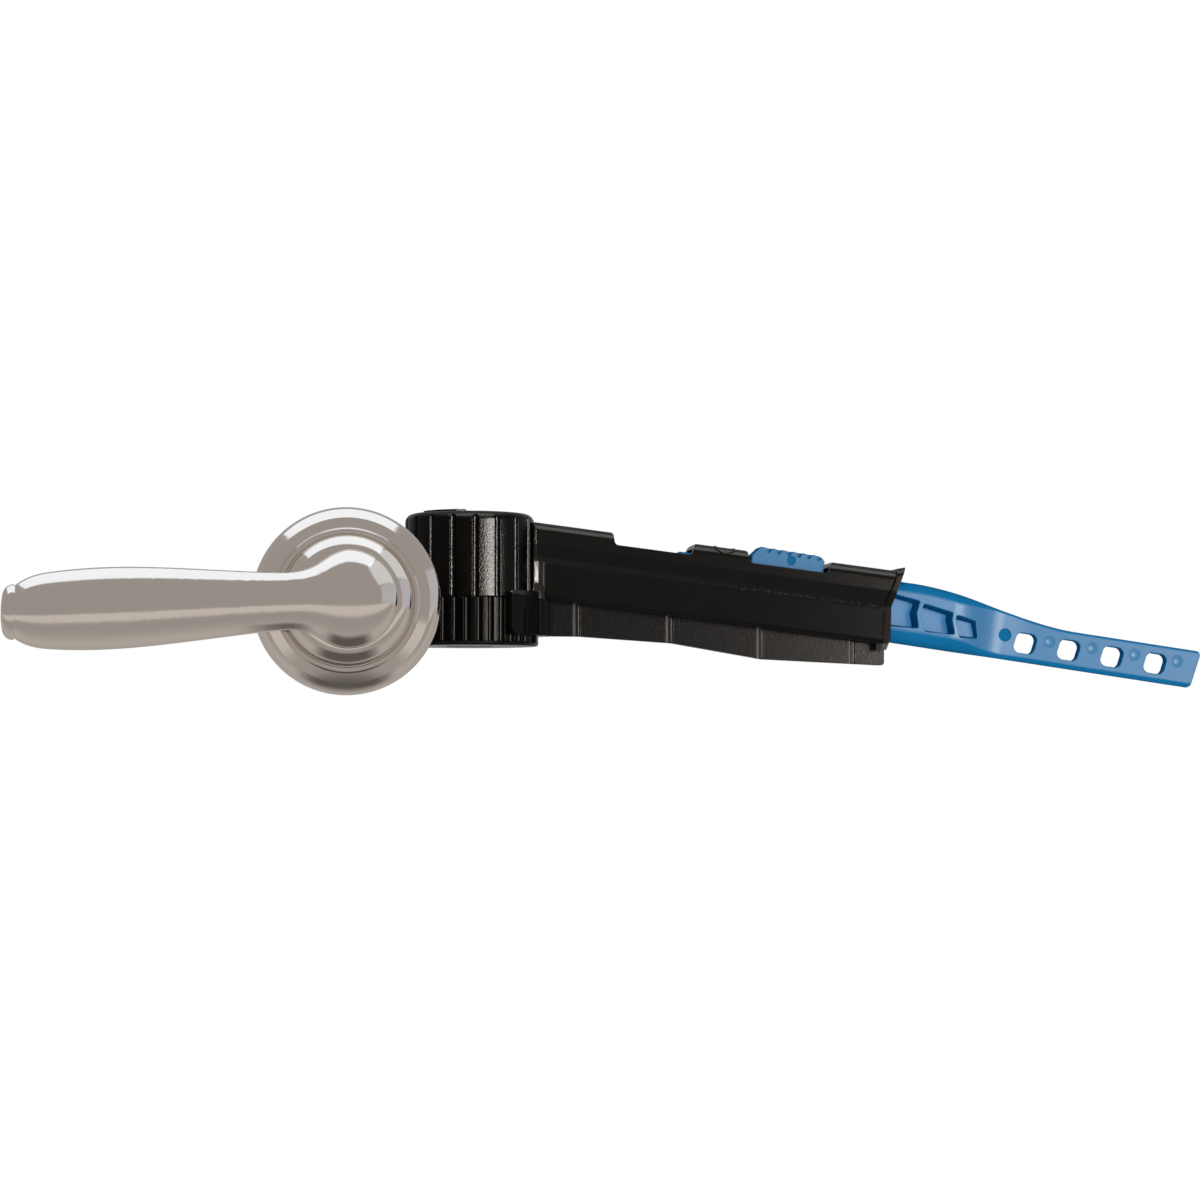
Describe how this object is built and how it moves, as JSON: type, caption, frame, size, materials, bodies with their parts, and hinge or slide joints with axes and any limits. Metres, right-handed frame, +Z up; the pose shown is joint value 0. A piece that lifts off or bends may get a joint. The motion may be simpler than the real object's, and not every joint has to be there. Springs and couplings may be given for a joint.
{
  "type": "cistern lever",
  "caption": "Front-mount toilet tank trip lever: polished handle and round plate outside the tank, folding black arm with a sliding blue extension and chain holes inside.",
  "frame": {"origin": "where the spindle line crosses the outer face of the tank wall, at the gasket's rear face", "axes": "+Y along the spindle into the tank, +Z up, +X along the lift arm"},
  "size_m": [0.3086, 0.0944, 0.0481],
  "materials": {
    "polished_nickel": "polished nickel plating",
    "brass": "turned",
    "steel": "zinc plated",
    "white_nylon": "moulded",
    "gasket_rubber": "foam",
    "black_plastic": "glass-filled moulding, satin",
    "blue_plastic": "moulded, satin",
    "light_blue_plastic": "moulded, satin"
  },
  "bodies": {
    "mount": {"escutcheon": "polished_nickel", "mounting_bushing": "black_plastic", "tank_gasket": "gasket_rubber", "nut_washer": "steel", "mounting_nut": "white_nylon", "thrust_washer": "white_nylon", "handle_washer": "white_nylon"},
    "lever": {"handle": "polished_nickel", "handle_key_pin": "steel", "spindle": "brass", "retaining_clip": "steel", "knuckle_hub": "black_plastic", "hub_set_screw": "steel", "knob_washer": "steel"},
    "knob": {"lock_knob": "black_plastic", "knob_insert": "brass"},
    "arm": {"arm": "black_plastic", "pivot_bolt": "steel"},
    "extension": {"extension": "blue_plastic"},
    "latch": {"latch_button": "light_blue_plastic"}
  },
  "joints": [
    {"name": "flush_turn", "type": "hinge", "parent": "mount", "child": "lever", "pos_m": [0, 0, 0], "axis": [0, -1, 0], "range_deg": [0, 30]},
    {"name": "knob_turn", "type": "hinge", "parent": "lever", "child": "knob", "pos_m": [0.0335, 0.058, 0], "axis": [0, 0, 1], "range_deg": [0, 180]},
    {"name": "arm_swing", "type": "hinge", "parent": "lever", "child": "arm", "pos_m": [0.0335, 0.058, 0], "axis": [0, 0, 1], "range_deg": [0, 90]},
    {"name": "extension_slide", "type": "slide", "parent": "arm", "child": "extension", "axis": [0.9894, 0, -0.1452], "range_m": [-0.0362, 0], "deforming": ["latch_button"]},
    {"name": "button_press", "type": "hinge", "parent": "extension", "child": "latch", "pos_m": [0.09273, 0.058, 0.01309], "axis": [0, 1, 0], "range_deg": [0, 8], "stiffness_Nm_per_rad": 0.9}
  ]
}
